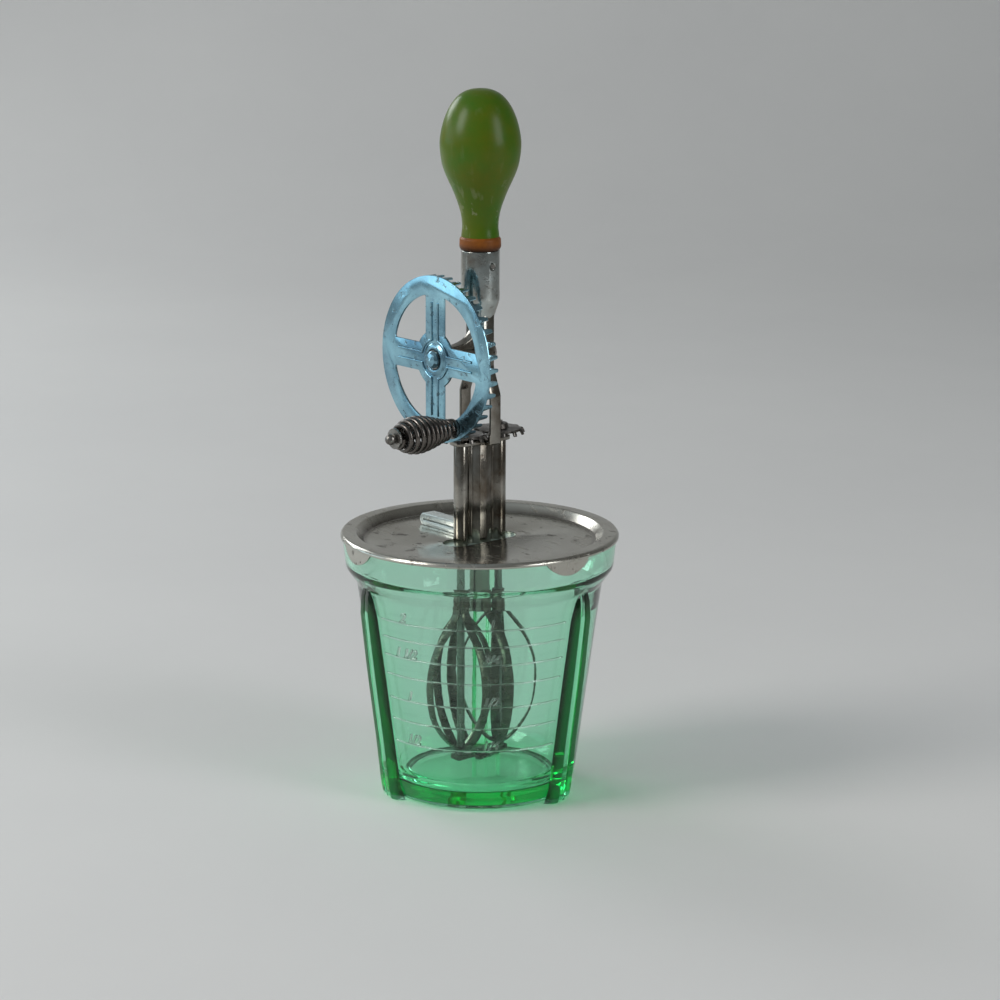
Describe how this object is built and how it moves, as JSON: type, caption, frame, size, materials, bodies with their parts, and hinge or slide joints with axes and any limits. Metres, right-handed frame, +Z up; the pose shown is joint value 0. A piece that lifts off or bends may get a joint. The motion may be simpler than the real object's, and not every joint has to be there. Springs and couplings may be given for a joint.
{
  "type": "hand-cranked mixer on a glass measuring jar",
  "caption": "Hand-cranked twin-dasher mixer standing through the metal lid of a green pressed-glass measuring jar, with a turned green handle.",
  "frame": {"origin": "middle of the object's footprint, on the plane that the jar's feet stand on", "axes": "+Z up along the jar's axis; the drive wheel is on the -Y side and its axle runs along Y"},
  "size_m": [0.1286, 0.1296, 0.3257],
  "materials": {
    "jar_glass": "pressed, glossy",
    "lid_plate": "worn satin plate",
    "nickel_plate": "bright nickel plate",
    "wheel_plate": "worn nickel plate",
    "plain_steel": "dull",
    "dasher_tin": "satin tin",
    "grip_wire": "dark drawn wire",
    "handle_paint": "gloss enamel on turned wood"
  },
  "bodies": {
    "jar": {"glass_jar": "jar_glass"},
    "head": {"lid": "lid_plate", "lid_keeper": "lid_plate", "frame": "nickel_plate", "handle": "handle_paint", "handle_tang": "plain_steel", "ferrule_pin": "plain_steel", "axle_stud": "plain_steel", "axle_spacer": "nickel_plate", "hub_washer": "plain_steel", "hub_cap": "nickel_plate", "guard_arch": "dasher_tin", "pivot_bridge": "dasher_tin", "guard_rivets": "plain_steel"},
    "latch": {"lid_latch": "lid_plate"},
    "wheel": {"drive_wheel": "wheel_plate", "crank_pin": "plain_steel"},
    "grip": {"grip_coil": "grip_wire", "grip_inner_cup": "plain_steel", "grip_outer_cup": "plain_steel"},
    "front_dasher": {"front_pinion": "plain_steel", "front_spindle": "plain_steel", "front_dasher_loop": "dasher_tin", "front_dasher_cross_loop": "dasher_tin"},
    "rear_dasher": {"rear_pinion": "plain_steel", "rear_spindle": "plain_steel", "rear_dasher_loop": "dasher_tin", "rear_dasher_cross_loop": "dasher_tin"}
  },
  "joints": [
    {"name": "beater_lift", "type": "slide", "parent": "jar", "child": "head", "axis": [0, 0, 1], "range_m": [0, 0.13]},
    {"name": "latch_slide", "type": "slide", "parent": "head", "child": "latch", "axis": [-1, 0, 0], "range_m": [0, 0.006]},
    {"name": "wheel_spin", "type": "hinge", "parent": "head", "child": "wheel", "pos_m": [0, -0.026, 0.2056], "axis": [0, -1, 0], "continuous": true},
    {"name": "grip_spin", "type": "hinge", "parent": "wheel", "child": "grip", "pos_m": [0.013, -0.045, 0.176], "axis": [0, -1, 0], "continuous": true},
    {"name": "front_dasher_spin", "type": "hinge", "parent": "head", "child": "front_dasher", "pos_m": [0, -0.01125, 0.1], "axis": [0, 0, 1], "continuous": true},
    {"name": "rear_dasher_spin", "type": "hinge", "parent": "head", "child": "rear_dasher", "pos_m": [0, 0.01125, 0.1], "axis": [0, 0, 1], "continuous": true}
  ],
  "couplings": [
    {"joint": "front_dasher_spin", "follows": "wheel_spin", "ratio": 3.3333},
    {"joint": "rear_dasher_spin", "follows": "wheel_spin", "ratio": -3.3333}
  ]
}
